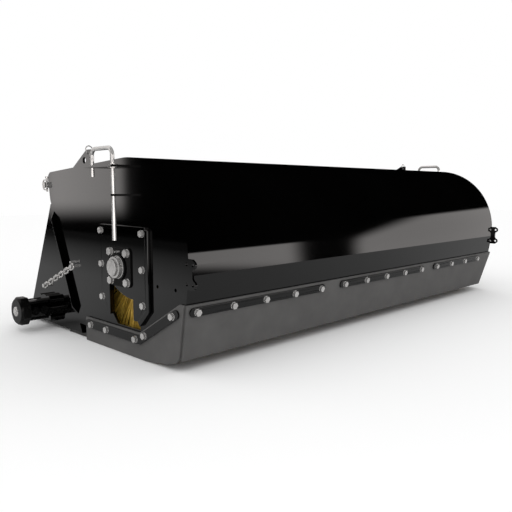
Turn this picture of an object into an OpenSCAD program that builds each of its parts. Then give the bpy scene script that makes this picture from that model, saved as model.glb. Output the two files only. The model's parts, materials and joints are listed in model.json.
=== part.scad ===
// Pick-up sweeper bucket for a loader: a rolled hood with a cross brush, hinged on a bucket.
// Modules draw with X across the machine, Y rearwards from the hood's front edge and Z up from
// the ground. from_edge() then moves the origin to the middle of the cutting edge's underside.

/* [Overall] */
// Width over the two hood side plates
overall_w = 1829; // [1500:1:2200]
// Thickness of the side plates of the hood and the bucket
side_t = 8; // [6:0.5:12]
// How far the bucket sides sit inside the hood sides
side_step = 1.5; // [1:0.5:4]
// Free gap where the hood sides part from the bucket sides
part_gap = 3; // [2:0.5:8]

/* [Hood] */
// Thickness of the rolled hood sheet
hood_t = 5; // [3:0.5:8]
// Outer radius of the rolled front
hood_r = 277; // [273:1:300]
// Height of the centre of the roll
hood_arc_z = 290; // [286:1:310]
// Face of the upright front, behind the front edge of the flap
hood_front_y = -4; // [-20:1:10]
// Height of the bend above the flap
bend_z = 259; // [235:1:265]
// Rearward lean of the lip and the front flap, in degrees
lip_lean = 9.1; // [4:0.1:14]
// Height of the lower edge of the lip, behind the flap
lip_low_z = 140; // [125:1:150]
// Rearward fall of the hood top, in degrees
hood_fall = 3.9; // [2:0.1:4.5]
// Where the parting line between hood and bucket meets the ground
part_y0 = 550; // [535:1:565]
// Lean of the parting line, in degrees
part_lean = 24; // [23:0.5:26]
// Depth of the notch under the hinge ear, below the hinge axis
notch_drop = 51; // [45:1:60]
// Radius of the hinge ear's rear corner
ear_r = 24; // [20:1:28]
// How far the flange along the parting line stands out
flange_out = 15; // [8:1:18]
// Thickness of that flange
flange_t = 8; // [5:1:12]
// Lower end of the flange
flange_low_z = 72; // [60:1:110]
// Upper end of the flange
flange_top_z = 402; // [360:1:420]
// Run of the flange's tapered ends
flange_taper = 25; // [12:1:80]

/* [Hinge] */
// Distance of the hinge axis behind the front edge
hinge_y = 737; // [725:1:745]
// Depth of the hinge axis below the hood's top
hinge_drop = 43; // [39:1:48]
// Outer radius of the cross tube on the hinge axis
tube_r = 30; // [24:1:32]
// Wall of the cross tube
tube_wall = 6; // [4:0.5:10]
// Length of the solid plug in each end of the tube
plug_l = 60; // [30:1:100]
// Radius of the hinge pins
pin_r = 10; // [8:0.5:12]
// Length of a hinge pin outside the hood side
pin_out = 26; // [24:1:45]
// Radius of the lynch pins
lynch_r = 3; // [2:0.5:4]
// Length of the lynch pins
lynch_l = 46; // [36:1:60]
// Radius of the spring ring on a lynch pin
lynch_ring_r = 15; // [13:1:20]

/* [Bucket] */
// Thickness of the floor and the rear wall
bucket_t = 8; // [5:0.5:12]
// Where floor and rear wall meet, behind the front edge
heel_y = 954; // [949:1:980]
// Lean of the rear wall, in degrees
rear_lean = 26.2; // [25:0.1:26.7]
// Depth of the bucket sides' top below the hinge axis
bucket_side_drop = 65; // [62:1:90]
// Front of the cutting edge
edge_front_y = 507; // [490:1:520]
// Depth of the cutting edge
edge_depth = 150; // [120:1:200]
// Thickness of the cutting edge and the wear bars
edge_t = 12; // [8:0.5:20]
// Run of the cutting edge's bevel
edge_bevel = 24; // [10:1:40]
// How far the floor starts behind the cutting edge's tip
floor_set = 26; // [20:1:40]
// Number of bolts in the cutting edge
edge_bolt_n = 8; // [4:2:12]
// Width of a wear bar
wear_w = 80; // [50:1:120]
// Length of a wear bar
wear_l = 220; // [120:1:260]
// Spread of the wear bars to each side
wear_x = 600; // [300:1:700]
// Drain hole radius in the bucket sides
drain_r = 7; // [4:0.5:10]

/* [Quick attach] */
// Width of the quick attach plate
qa_w = 1150; // [1040:1:1250]
// Height of the plate along its lean
qa_h = 400; // [340:1:415]
// Thickness of the plate
qa_t = 10; // [8:1:14]
// Space between the rear wall and the plate
qa_space = 46; // [38:1:60]
// Height of the plate's lower edge along the lean
qa_low = 36; // [28:1:45]
// Reach of the top hook
hook_out = 42; // [30:1:50]
// Drop of the hook's tip
hook_drop = 16; // [10:1:24]
// Length of a locking slot
slot_l = 64; // [50:1:80]
// Width of a locking slot
slot_w = 28; // [24:1:32]
// Distance between the locking slots
slot_pitch = 920; // [800:1:980]
// Thickness of the ribs behind the plate
rib_t = 10; // [8:1:14]

/* [Brush] */
// Distance of the brush axis behind the front edge
brush_y = 295; // [290:1:300]
// Height of the brush axis
brush_z = 257; // [257:1:265]
// Radius over the bristle tips
brush_r = 254; // [235:1:255]
// Outer radius of the core tube
core_r = 70; // [55:1:80]
// Wall of the core tube
core_wall = 6; // [4:0.5:10]
// Thickness of the bristle backing on the core
backing_t = 9; // [6:0.5:14]
// Free space between the brush and each hood side
brush_end_gap = 22; // [18:1:40]
// Thickness of the discs at the ends of the core
disc_t = 8; // [6:0.5:12]
// Rim of those discs beyond the backing
disc_rim = 12; // [6:1:20]
// Rows of bristle tufts along the brush
tuft_rows = 26; // [20:1:26]
// Tufts in one row
tufts_round = 16; // [14:1:18]
// Radius of a tuft at its root
tuft_root_r = 5; // [3:0.5:6]
// Radius of a tuft at its tip
tuft_tip_r = 6.5; // [4:0.5:8]
// Turn of each row against the one before, in degrees
tuft_twist = 7; // [3:0.5:11]

/* [Bearing] */
// Radius of the brush shaft at the bearing
shaft_r = 24; // [18:0.5:26]
// How far the shaft stands out of the hood side
shaft_out = 42; // [40:1:60]
// Outer radius of the locking collar
collar_r = 31; // [28:0.5:36]
// Length of the locking collar
collar_l = 11; // [8:1:13]
// Radius of the bearing ring
ring_r = 33; // [30:0.5:36]
// Side of the square bearing flange
bearing_w = 114; // [108:1:124]
// Thickness of the bearing flange
bearing_t = 8; // [6:1:12]
// Radius of the bearing boss
boss_r = 39; // [37:1:42]
// How far the boss stands out of the flange
boss_out = 8; // [6:1:12]
// Side of the square of bearing bolts
bearing_pitch = 84; // [80:1:90]
// Thickness of the bearing plate
plate_t = 7; // [5:1:10]
// Width of the bearing plate
plate_w = 234; // [228:1:240]
// Top of the bearing plate above the axis
plate_up = 118; // [114:1:126]
// Bottom of the bearing plate below the axis
plate_down = 150; // [140:1:155]
// Spacing of the bearing plate's bolt columns
plate_bolt_y = 214; // [206:1:216]
// Spacing of the bearing plate's bolt rows
plate_bolt_z = 100; // [96:1:104]
// Half width of the brush window, to the front
window_front = 54; // [48:1:58]
// Half width of the brush window, to the rear
window_rear = 71; // [60:1:74]
// Radius of the window's bowed upper edge
window_r = 194; // [180:1:210]
// Width of the guard bar in front of the bearing plate
guard_w = 15; // [10:1:20]
// How far the guard bar stands out
guard_out = 9; // [6:1:14]

/* [Motors] */
// Radius of a motor's mounting flange
motor_flange_r = 58; // [56:1:62]
// Thickness of the mounting flange
motor_flange_t = 26; // [20:1:30]
// Radius of the motor's waist
motor_body_r = 33; // [30:1:36]
// Length of the waist
motor_body_l = 66; // [62:1:80]
// Width of the eight-sided end cap across its flats
motor_cap_w = 91; // [84:1:98]
// Length of the end cap
motor_cap_l = 32; // [20:1:40]
// Radius of the tie rods along the waist
tie_r = 5; // [3:0.5:6]
// Radius of the motor shafts
motor_shaft_r = 16; // [10:0.5:18]
// Radius of the hydraulic ports
port_r = 11; // [8:0.5:13]
// Distance between the two ports
port_pitch = 30; // [26:1:34]
// Radius of the silver plug in the end cap
plug_r = 16; // [10:1:20]
// Place of the auxiliary motor behind the front edge
aux_y = 773; // [760:1:790]
// Height of the auxiliary motor's axis
aux_z = 70; // [68:1:76]

/* [Flaps] */
// Thickness of the rubber flaps
flap_t = 8; // [5:0.5:12]
// Top edge of the front flap
flap_top_z = 183; // [176:1:190]
// Bottom edge of the front flap
flap_low_z = 33; // [20:1:50]
// Slant of the front flap's right end
flap_slant = 57; // [20:1:80]
// How far the right side flap's front edge is cut back behind that slant
side_flap_cut = 30; // [0:1:45]
// How far the front flap runs past the hood sides
flap_over = 2; // [0:0.5:6]
// Height of the front bolt row
flap_bolt_z = 165; // [158:1:168]
// Number of bolts in the front flap
flap_bolt_n = 14; // [12:1:16]
// Distance of the first of those bolts from the hood's left side
flap_bolt_left = 28; // [24:1:60]
// Distance of the last of those bolts from the hood's right side
flap_bolt_right = 150; // [110:1:190]
// Width of the clamping strips
strip_w = 25; // [20:1:30]
// Thickness of the clamping strips
strip_t = 5; // [3:0.5:8]
// How far the straight of a front strip runs past its end bolts
strip_over = 10; // [6:1:14]
// Height of the front flap's square corner, above the slant of its right end
flap_shoulder = 8; // [4:1:40]
// Clearance of the side flaps above the ground
side_flap_low = 1; // [1:0.5:8]
// Rear edge of the side flaps
side_flap_rear = 514; // [500:1:525]
// Height of the side bolts' level row
side_bolt_z = 58; // [54:1:62]
// Where the level row of side bolts turns upwards
side_turn_y = 208; // [200:1:214]
// Slope of the rising row, in degrees
side_rise = 30; // [26:0.5:34]
// Distance of the rearmost side bolt from the flap's rear edge
side_bolt_end = 46; // [36:1:56]
// Spacing of the two rear side bolts
side_bolt_gap = 91; // [70:1:105]
// Distance of the front level bolt behind the turn
side_bolt_turn = 15; // [13:1:20]
// Distance of the first rising bolt along its row
rise_bolt_low = 34; // [28:1:50]
// Distance of the last rising bolt along its row
rise_bolt_high = 184; // [150:1:190]

/* [Fasteners] */
// Radius of the flap and plate bolts
bolt_r = 5; // [4:0.5:6]
// Radius of the bearing bolts
bearing_bolt_r = 6; // [5:0.5:7]
// Bolt head across flats, as a share of the bolt's diameter
head_af = 1.7; // [1.5:0.1:1.9]
// Bolt head height, as a share of the bolt's diameter
head_h = 0.7; // [0.5:0.05:0.9]
// Washer thickness
washer_t = 2; // [1:0.5:3]
// Clearance of a bolt in its hole
hole_gap = 0.5; // [0.3:0.1:1]
// Radial clearance of parts that turn or slide on each other
run_gap = 0.08; // [0.03:0.01:0.1]
// Clearance of a fixed piece in its seat
seat_gap = 0.05; // [0.02:0.01:0.2]

/* [Drop rods] */
// Radius of the bent rod
rod_r = 6; // [5:0.5:8]
// How far the rod stands out of the hood side
rod_out = 29; // [24:1:36]
// Height of the U's top
rod_top_z = 600; // [590:1:612]
// Lower end of the long leg
rod_low_z = 334; // [330:1:350]
// Distance between the legs
rod_pitch = 112; // [90:1:130]
// Lower end of the short leg
rod_short_z = 514; // [505:1:522]
// Bend radius of the rod
rod_bend = 20; // [16:1:26]
// Depth of the upper tab below the hood's top, at the short leg
tab_drop = 18.5; // [13:0.5:28]
// Height of the lower tab
low_tab_z = 459; // [450:1:470]
// Thickness of the tabs
tab_t = 6; // [4:0.5:8]
// Radius of the bush flanges
bush_r = 14; // [12:0.5:16]
// Wall of the bush
bush_wall = 3; // [2:0.5:4]

/* [Lugs and brackets] */
// Front foot of the lifting lug
lug_front_y = 465; // [450:1:480]
// Rear foot of the lifting lug
lug_rear_y = 578; // [560:1:600]
// Height of the lug above the hood
lug_h = 44; // [40:1:60]
// Radius of the lifting bore
lug_bore_r = 10; // [7:0.5:11]
// Wire radius of the spring clips
clip_r = 1.6; // [1:0.1:2]
// Width of the waisted corner brackets
bracket_w = 45; // [42:1:50]
// Height of the corner brackets
bracket_h = 78; // [76:1:90]
// Width of the brackets' waist
waist_w = 20; // [14:1:22]
// Thickness of the corner brackets
bracket_t = 6; // [4:1:8]
// Hole spacing across a bracket
bracket_hole_y = 24; // [22:1:26]
// Hole spacing up a bracket
bracket_hole_z = 51; // [46:1:54]
// Radius of the brackets' holes
bracket_hole_r = 4.5; // [3:0.5:5]
// Middle of the left bracket behind the front edge
bracket_y = -16; // [-18:1:-14]
// Height of the brackets' middle
bracket_z = 265; // [258:1:272]
// How far the right bracket stands in from the hood side
bracket_in = 43; // [20:1:60]
// Front spare hole in a hood side, behind the front edge
spare_hole_front = 51; // [40:1:70]
// Rear spare hole in a hood side, behind the front edge
spare_hole_rear = 131; // [110:1:145]

/* [Chain] */
// Place of the hood's chain peg behind the front edge
fork_y = 553; // [545:1:560]
// Height of the hood's chain peg
fork_z = 235; // [230:1:240]
// Place of the bucket's chain peg behind the front edge
peg_y = 754; // [745:1:765]
// Height of the bucket's chain peg
peg_z = 150; // [140:1:160]
// Radius of the pegs
peg_r = 4; // [3:0.5:4.5]
// How far the chain hangs out from the hood side
chain_out = 27; // [26:1:32]
// Thickness of the chain wire
wire = 5; // [4:0.5:6]
// Inner length of a link
link_in_l = 22; // [21:0.5:24]
// Inner width of a link
link_in_w = 9.5; // [9:0.5:12]

/* [Hidden] */
$fn = 48;

// Faces across the machine
half_w = overall_w / 2;
hood_in = half_w - side_t;
bucket_out = half_w - side_step;
bucket_in = bucket_out - side_t;
origin_y = edge_front_y + edge_depth / 2;

// The hood's outline in the side view
arc_y = hood_front_y + hood_r;
roll_end = [arc_y + hood_r * sin(hood_fall), hood_arc_z + hood_r * cos(hood_fall)];
function top_z(y) = roll_end[1] - (y - roll_end[0]) * tan(hood_fall);
function lip_y(z) = hood_front_y + (bend_z - z) * tan(lip_lean);
function lip_v(z) = -(bend_z - z) / cos(lip_lean);
function part_y(z) = part_y0 + z * tan(part_lean);
function rear_y(z) = heel_y - (z - edge_t) * tan(rear_lean);
hinge_z = top_z(hinge_y) - hinge_drop;
notch_z = hinge_z - notch_drop;
bucket_side_top = hinge_z - bucket_side_drop;
ear_y = hinge_y - 3;
ear_z = top_z(ear_y) - ear_r / cos(hood_fall);
hood_end_y = hinge_y + 3;
tuck = 0.02;
meet_run = heel_y + edge_t * tan(rear_lean) - 4 - part_y0 - part_gap;
sides_meet = meet_run / (tan(part_lean) + tan(rear_lean));
side_top = min(bucket_side_top, sides_meet);

// The side flap's bolt rows and the plate edges that run beside them
edge_margin = 14;
flap_margin = 18;
last_side_bolt = side_flap_rear - side_bolt_end;
side_bolt_rear = [last_side_bolt, last_side_bolt - side_bolt_gap, side_turn_y + side_bolt_turn];
side_bolt_rise = [rise_bolt_low, rise_bolt_high];
function rise_pt(along, across) = [
  side_turn_y - along * cos(side_rise) - across * sin(side_rise),
  side_bolt_z + along * sin(side_rise) - across * cos(side_rise)
];

// Seats of the bolted pieces, counted out from the hood side
bearing_x = half_w + plate_t;
rod_x = half_w + rod_out;
chain_x = half_w + chain_out;
core_l = 2 * (hood_in - brush_end_gap - disc_t);
backing_r = core_r + backing_t;
disc_r = backing_r + disc_rim;
rod_y = brush_y - 1;
tab_z = top_z(rod_y + rod_pitch) - tab_drop;
motor_l = motor_flange_t + motor_body_l + motor_cap_l;
flap_bolt_pitch = (overall_w - flap_bolt_left - flap_bolt_right) / (flap_bolt_n - 1);
flap_bolt_first = flap_bolt_left - half_w;

module from_edge() {
  translate([0, -origin_y, 0]) children();
}

// Extrudes a side-view outline along X between two stations
module across(x0, x1) {
  translate([x0, 0, 0]) rotate([90, 0, 90]) linear_extrude(x1 - x0) children();
}

module both_sides() {
  children();
  mirror([1, 0, 0]) children();
}

// A point in the side view, facing outwards along +X
module facing_out(x, y, z) {
  translate([x, y, z]) rotate([0, 90, 0]) children();
}

// The plane of the hood's lip: x across, y up the lip, z outwards
module on_lip() {
  translate([0, hood_front_y, bend_z]) rotate([90 + lip_lean, 0, 0]) children();
}

// A round-ended bar between two points of a plan
module bar(a, b, w) {
  run = norm(b - a);
  translate(a) rotate(atan2(b[1] - a[1], b[0] - a[0])) {
    translate([0, -w / 2]) square([run, w]);
    circle(w / 2);
    translate([run, 0]) circle(w / 2);
  }
}

// A bolt whose washer seats on z = 0 and whose shank runs down through the grip
module bolt(r, grip) {
  cylinder(h = washer_t, r = 2 * r);
  translate([0, 0, washer_t]) cylinder(h = 2 * r * head_h, r = r * head_af / cos(30), $fn = 6);
  translate([0, 0, -grip]) cylinder(h = grip, r = r);
}

// A ring of round wire
module wire_ring(ring, thick) {
  rotate_extrude() translate([ring, 0]) circle(thick, $fn = 24);
}

// The rolled front as a filled sector, set in from the outer face
module roll_sector(set_in) {
  reach = hood_r + 10;
  intersection() {
    translate([arc_y, hood_arc_z]) circle(hood_r - set_in, $fn = 180);
    polygon([
      [arc_y, hood_arc_z - 20], [arc_y - reach, hood_arc_z - 20], [arc_y - reach, hood_arc_z + reach],
      [arc_y + reach, hood_arc_z + reach]
    ]);
  }
}

// Where the flat top leaves the roll, tucked just under it
function roll_foot(set_in) =
  [arc_y, hood_arc_z] + (hood_r - set_in - tuck) * [sin(hood_fall), cos(hood_fall)];

// The block of space under the hood sheet, set in from its outer face, open below and behind
module hood_block(x0, x1, set_in, low_z, end_y) {
  foot = roll_foot(set_in);
  front = hood_front_y + set_in + tuck;
  lean = (bend_z - low_z) * tan(lip_lean);
  across(x0, x1) roll_sector(set_in);
  across(x0, x1) polygon([
    foot, [end_y, foot[1] - (end_y - foot[0]) * tan(hood_fall)], [end_y, low_z], [front + lean, low_z],
    [front, bend_z], [front, hood_arc_z]
  ]);
}

// The blank of a hood side plate: the rolled corner, the body and the hinge ear
module hood_side_blank() {
  low_z = side_bolt_z - edge_margin;
  turn = rise_pt(-edge_margin * tan(side_rise / 2), edge_margin);
  rise = (side_turn_y - lip_y(flap_bolt_z)) * tan(side_rise);
  front_z = side_bolt_z + rise - edge_margin / cos(side_rise);
  front = hood_front_y + tuck;
  across(hood_in, half_w) roll_sector(0);
  across(hood_in, half_w) polygon([
    roll_foot(0), [ear_y, top_z(ear_y) - tuck], [ear_y + ear_r - tuck, ear_z], [part_y(notch_z), notch_z],
    [part_y(low_z), low_z], [turn[0], low_z], [lip_y(front_z) + tuck, front_z], [front, bend_z],
    [front, hood_arc_z]
  ]);
  across(hood_in, half_w) translate([ear_y, ear_z]) circle(ear_r);
}

// The opening that the brush comes out through, behind the bearing plate
module brush_opening() {
  low_z = side_bolt_z + 24;
  front = brush_y - window_front - 24;
  rear = brush_y + window_rear;
  high_z = brush_z + bearing_pitch / 2 + 12;
  polygon([
    [front, low_z], [rear - 30, low_z], [rear, low_z + 32], [rear, high_z], [front, high_z]
  ]);
}

module bearing_plate_outline() {
  front = brush_y - plate_w / 2;
  rear = brush_y + plate_w / 2;
  low = brush_z - plate_down;
  cut = 40;
  difference() {
    polygon([
      [front, brush_z + plate_up], [rear, brush_z + plate_up], [rear, low + cut], [rear - cut, low],
      [front + cut, low], [front, low + cut]
    ]);
    difference() {
      translate([brush_y - window_front, low - 1]) square([window_front + window_rear, plate_down - 30]);
      translate([brush_y - window_front - 4, brush_z + window_r - 90]) circle(window_r, $fn = 120);
    }
  }
}

module plate_bolt_spots(x) {
  for (side = [-1, 1], row = [-1, 0, 1])
    facing_out(x, brush_y + side * plate_bolt_y / 2, brush_z + row * plate_bolt_z) children();
}

module bearing_bolt_spots(x) {
  for (side = [-1, 1], row = [-1, 1])
    facing_out(x, brush_y + side * bearing_pitch / 2, brush_z + row * bearing_pitch / 2) children();
}

module side_bolt_spots(x) {
  for (y = side_bolt_rear) facing_out(x, y, side_bolt_z) children();
  for (along = side_bolt_rise)
    facing_out(x, rise_pt(along, 0)[0], rise_pt(along, 0)[1]) children();
}

module front_bolt_spots() {
  for (i = [0 : flap_bolt_n - 1])
    translate([flap_bolt_first + i * flap_bolt_pitch, lip_v(flap_bolt_z), 0]) children();
}

module bucket_shell() {
  inner = bucket_t / cos(rear_lean);
  floor_top = edge_t + bucket_t;
  color([0.02, 0.02, 0.02]) from_edge() difference() {
    across(-bucket_in, bucket_in) polygon([
      [edge_front_y + floor_set, edge_t], [heel_y, edge_t], [rear_y(hinge_z), hinge_z],
      [rear_y(hinge_z) - inner, hinge_z], [rear_y(floor_top) - inner, floor_top],
      [edge_front_y + floor_set, floor_top]
    ]);
    across(-half_w, half_w) translate([hinge_y, hinge_z]) circle(tube_r + seat_gap);
    for (i = [0 : edge_bolt_n - 1]) edge_bolt_at(i) translate([0, 0, -2 * edge_t])
      cylinder(h = 4 * edge_t, r = bolt_r + hole_gap);
  }
}

module edge_bolt_at(i) {
  reach = bucket_in - 80;
  translate([-reach + 2 * reach * i / (edge_bolt_n - 1), edge_front_y + edge_depth / 2, edge_t + bucket_t])
    children();
}

module bucket_side() {
  across(bucket_in, bucket_out) polygon([
    [part_y(edge_t) + part_gap, edge_t], [heel_y, edge_t], [rear_y(side_top), side_top],
    [part_y(side_top) + part_gap, side_top]
  ]);
}

module bucket_side_holes() {
  facing_out(bucket_in - 1, aux_y - 96, aux_z - 8) cylinder(h = side_t + 2, r = drain_r);
  facing_out(bucket_in - 1, peg_y, peg_z) cylinder(h = side_t + 2, r = peg_r + seat_gap);
}

module bucket_side_left() {
  color([0.02, 0.02, 0.02]) from_edge() mirror([1, 0, 0]) difference() {
    bucket_side();
    bucket_side_holes();
    facing_out(bucket_in - 1, aux_y, aux_z) cylinder(h = side_t + 2, r = motor_shaft_r + 4);
  }
}

module bucket_side_right() {
  color([0.02, 0.02, 0.02]) from_edge() difference() {
    bucket_side();
    bucket_side_holes();
  }
}

module cutting_edge() {
  color([0.05, 0.05, 0.05]) from_edge() difference() {
    across(-bucket_in, bucket_in) polygon([
      [edge_front_y, 0], [edge_front_y + edge_depth, 0], [edge_front_y + edge_depth, edge_t],
      [edge_front_y + edge_bevel, edge_t], [edge_front_y, edge_t / 3]
    ]);
    for (i = [0 : edge_bolt_n - 1]) edge_bolt_at(i) translate([0, 0, -3 * edge_t - bucket_t])
      cylinder(h = 6 * edge_t, r = bolt_r + hole_gap);
  }
}

module cutting_edge_bolts() {
  color("silver") from_edge() for (i = [0 : edge_bolt_n - 1])
    edge_bolt_at(i) bolt(bolt_r, edge_t + bucket_t - 2);
}

module wear_bars() {
  back = heel_y - wear_l - 20;
  color([0.05, 0.05, 0.05]) from_edge() for (x = [-wear_x, 0, wear_x])
    translate([x - wear_w / 2, back, 0]) cube([wear_w, wear_l, edge_t]);
}

module hinge_tube() {
  color([0.03, 0.03, 0.03]) from_edge() difference() {
    facing_out(-bucket_in, hinge_y, hinge_z) cylinder(h = 2 * bucket_in, r = tube_r);
    facing_out(-bucket_in + plug_l, hinge_y, hinge_z)
      cylinder(h = 2 * (bucket_in - plug_l), r = tube_r - tube_wall);
    facing_out(-half_w, hinge_y, hinge_z) cylinder(h = overall_w, r = pin_r + seat_gap);
  }
}

module hinge_pins() {
  color("silver") from_edge() both_sides() difference() {
    facing_out(bucket_in - plug_l + 10, hinge_y, hinge_z)
      cylinder(h = half_w + pin_out - (bucket_in - plug_l + 10), r = pin_r);
    translate([half_w + pin_out - 12, hinge_y, hinge_z - lynch_l / 2])
      cylinder(h = lynch_l, r = lynch_r + seat_gap);
  }
}

module lynch_pins() {
  color("silver") from_edge() both_sides() translate([half_w + pin_out - 12, hinge_y, hinge_z]) {
    translate([0, 0, -lynch_l / 2]) cylinder(h = lynch_l, r = lynch_r);
    translate([0, 0, lynch_l / 2 - 1]) cylinder(h = 6, r = lynch_r + 2);
    translate([lynch_r + clip_r + 2, 0, 0]) rotate([0, 90, 0]) difference() {
      cylinder(h = 2 * clip_r, r = lynch_ring_r + 2 * clip_r, center = true);
      cylinder(h = 4 * clip_r, r = lynch_ring_r, center = true);
    }
    translate([0, -clip_r, lynch_ring_r + clip_r / 2]) cube([lynch_r + 2 * clip_r + 1, 2 * clip_r, clip_r]);
  }
}

// The plate leans with the rear wall: the side view is drawn in the wall's own plane
module quick_attach_plate() {
  face = qa_space + qa_t;
  tip = face + hook_out;
  high = qa_low + qa_h;
  under = high - qa_t;
  color([0.03, 0.03, 0.03]) from_edge() difference() {
    rear_frame(-qa_w / 2, qa_w / 2) {
      polygon([
        [qa_space, qa_low], [face, qa_low], [face, under], [tip - qa_t, under],
        [tip - qa_t, under - hook_drop], [tip, under - hook_drop], [tip, high], [qa_space, high]
      ]);
      translate([0, qa_low]) square([qa_space, qa_t]);
    }
    for (middle = [-slot_pitch / 2, slot_pitch / 2])
      rear_frame(middle - slot_l / 2, middle + slot_l / 2)
        translate([(qa_space - slot_w) / 2, qa_low - 1]) square([slot_w, qa_t + 2]);
  }
}

// Plan axes of the leaning rear wall: first out of the wall, then up along it
module rear_frame(x0, x1) {
  across(x0, x1) translate([heel_y, edge_t]) rotate(rear_lean) children();
}

module quick_attach_ribs() {
  low = qa_low + qa_t;
  inner = slot_pitch / 4;
  places = [-qa_w / 2, -inner, inner - rib_t, qa_w / 2 - rib_t];
  color([0.03, 0.03, 0.03]) from_edge() for (x = places)
    rear_frame(x, x + rib_t) translate([0, low]) square([qa_space, qa_h - qa_t]);
}

module chain_pegs() {
  color("silver") from_edge() both_sides() {
    facing_out(bucket_in, peg_y, peg_z) cylinder(h = chain_x + wire - bucket_in, r = peg_r);
    facing_out(chain_x + wire, peg_y, peg_z) cylinder(h = 3, r = peg_r + 3);
  }
}

// Pieces of a geared hydraulic motor that stands on z = 0 with its shaft pointing down
module motor_flange() {
  difference() {
    union() {
      cylinder(h = motor_flange_t, r = motor_flange_r - 12);
      for (a = [45 : 90 : 315]) rotate(a) translate([motor_flange_r - 14, 0, 0])
        cylinder(h = motor_flange_t, r = 14);
      for (a = [45, 135]) rotate(a) translate([14 - motor_flange_r, -14, 0])
        cube([2 * (motor_flange_r - 14), 28, motor_flange_t]);
    }
    translate([0, 0, -1]) cylinder(h = motor_flange_t + 2, r = motor_shaft_r + run_gap);
  }
}

module motor_body() {
  port_z = motor_flange_t + motor_body_l / 2;
  difference() {
    union() {
      translate([0, 0, motor_flange_t]) cylinder(h = motor_body_l, r = motor_body_r);
      for (side = [-1, 1]) translate([0, 0, port_z + side * port_pitch / 2]) rotate([90, 0, 0])
        cylinder(h = motor_body_r + 6, r = port_r + 3);
    }
    translate([0, 0, motor_flange_t - 1]) cylinder(h = 5, r = motor_shaft_r + 2);
    for (side = [-1, 1]) translate([0, 0, port_z + side * port_pitch / 2]) rotate([90, 0, 0])
      translate([0, 0, motor_body_r - 6]) cylinder(h = 13, r = port_r + seat_gap);
  }
}

module motor_cap() {
  z = motor_flange_t + motor_body_l;
  corner_r = motor_cap_w / cos(22.5) / 2;
  difference() {
    intersection() {
      translate([0, 0, z]) rotate(22.5) cylinder(h = motor_cap_l, r = corner_r, $fn = 8);
      translate([0, 0, z - 1])
        cylinder(h = motor_cap_l + 1, r1 = corner_r + motor_cap_l - 8, r2 = corner_r - 9);
    }
    translate([0, 0, z + motor_cap_l - 8]) cylinder(h = 9, r = plug_r + seat_gap);
  }
}

module motor_tie_rods() {
  place = motor_body_r + tie_r + 1;
  for (a = [45 : 90 : 315]) rotate(a) translate([place, 0, motor_flange_t])
    cylinder(h = motor_body_l, r = tie_r);
}

module motor_fittings(port_out) {
  port_z = motor_flange_t + motor_body_l / 2;
  translate([0, 0, motor_l - 8]) cylinder(h = 11, r = plug_r);
  translate([0, 0, motor_l + 3]) cylinder(h = 3, r = plug_r * 0.7, $fn = 6);
  for (side = [-1, 1]) translate([0, 0, port_z + side * port_pitch / 2]) rotate([90, 0, 0])
    translate([0, 0, motor_body_r - 6]) cylinder(h = port_out, r = port_r);
}

// The auxiliary motor stands on the left bucket side with its ports to the front
module at_aux() {
  translate([-bucket_out, aux_y, aux_z]) rotate([0, -90, 0]) children();
}

// The drive motor stands on the right bearing plate with its ports upwards
module at_drive() {
  translate([bearing_x, brush_y, brush_z]) rotate([0, 90, 0]) rotate(-90) children();
}

module aux_motor_flange() {
  color([0.02, 0.02, 0.02]) from_edge() at_aux() motor_flange();
}

module aux_motor_body() {
  color([0.02, 0.02, 0.02]) from_edge() at_aux() motor_body();
}

module aux_motor_cap() {
  color([0.3, 0.3, 0.3]) from_edge() at_aux() motor_cap();
}

module aux_motor_tie_rods() {
  color([0.3, 0.3, 0.3]) from_edge() at_aux() motor_tie_rods();
}

module aux_motor_fittings() {
  color("silver") from_edge() at_aux() motor_fittings(14);
}

module aux_shaft() {
  color("silver") from_edge() facing_out(-bucket_out - motor_flange_t + 2, aux_y, aux_z) {
    cylinder(h = side_t + motor_flange_t + 40, r = motor_shaft_r);
    translate([0, 0, side_t + motor_flange_t + 12]) cylinder(h = 22, r = 2 * motor_shaft_r);
  }
}

module drive_motor_flange() {
  color([0.02, 0.02, 0.02]) from_edge() at_drive() motor_flange();
}

module drive_motor_body() {
  color([0.02, 0.02, 0.02]) from_edge() at_drive() motor_body();
}

module drive_motor_cap() {
  color([0.3, 0.3, 0.3]) from_edge() at_drive() motor_cap();
}

module drive_motor_tie_rods() {
  color([0.3, 0.3, 0.3]) from_edge() at_drive() motor_tie_rods();
}

module drive_motor_fittings() {
  color("silver") from_edge() at_drive() motor_fittings(14);
}

module hood_shell() {
  color([0.01, 0.01, 0.01]) from_edge() difference() {
    hood_block(-hood_in, hood_in, 0, lip_low_z, hood_end_y);
    hood_block(-hood_in - 1, hood_in + 1, hood_t, lip_low_z - 1, hood_end_y + 1);
    on_lip() front_bolt_spots() translate([0, 0, -2 * hood_t])
      cylinder(h = 3 * hood_t, r = bolt_r + hole_gap);
  }
}

module hood_side() {
  difference() {
    hood_side_blank();
    across(hood_in - 1, half_w + 1) brush_opening();
    facing_out(hood_in - 1, brush_y, brush_z) cylinder(h = side_t + 2, r = ring_r + 4);
    plate_bolt_spots(hood_in - 1) cylinder(h = side_t + 2, r = bolt_r + hole_gap);
    side_bolt_spots(hood_in - 1) cylinder(h = side_t + 2, r = bolt_r + hole_gap);
    facing_out(hood_in - 1, hinge_y, hinge_z) cylinder(h = side_t + 2, r = pin_r + run_gap);
    for (y = [spare_hole_front, spare_hole_rear])
      facing_out(hood_in - 1, y, bracket_z - 48) cylinder(h = side_t + 2, r = bolt_r);
  }
}

module hood_side_left() {
  color([0.01, 0.01, 0.01]) from_edge() mirror([1, 0, 0]) difference() {
    hood_side();
    bracket_spots(hood_in - 1, bracket_y) cylinder(h = side_t + 2, r = bracket_hole_r);
  }
}

module hood_side_right() {
  color([0.01, 0.01, 0.01]) from_edge() hood_side();
}

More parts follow.
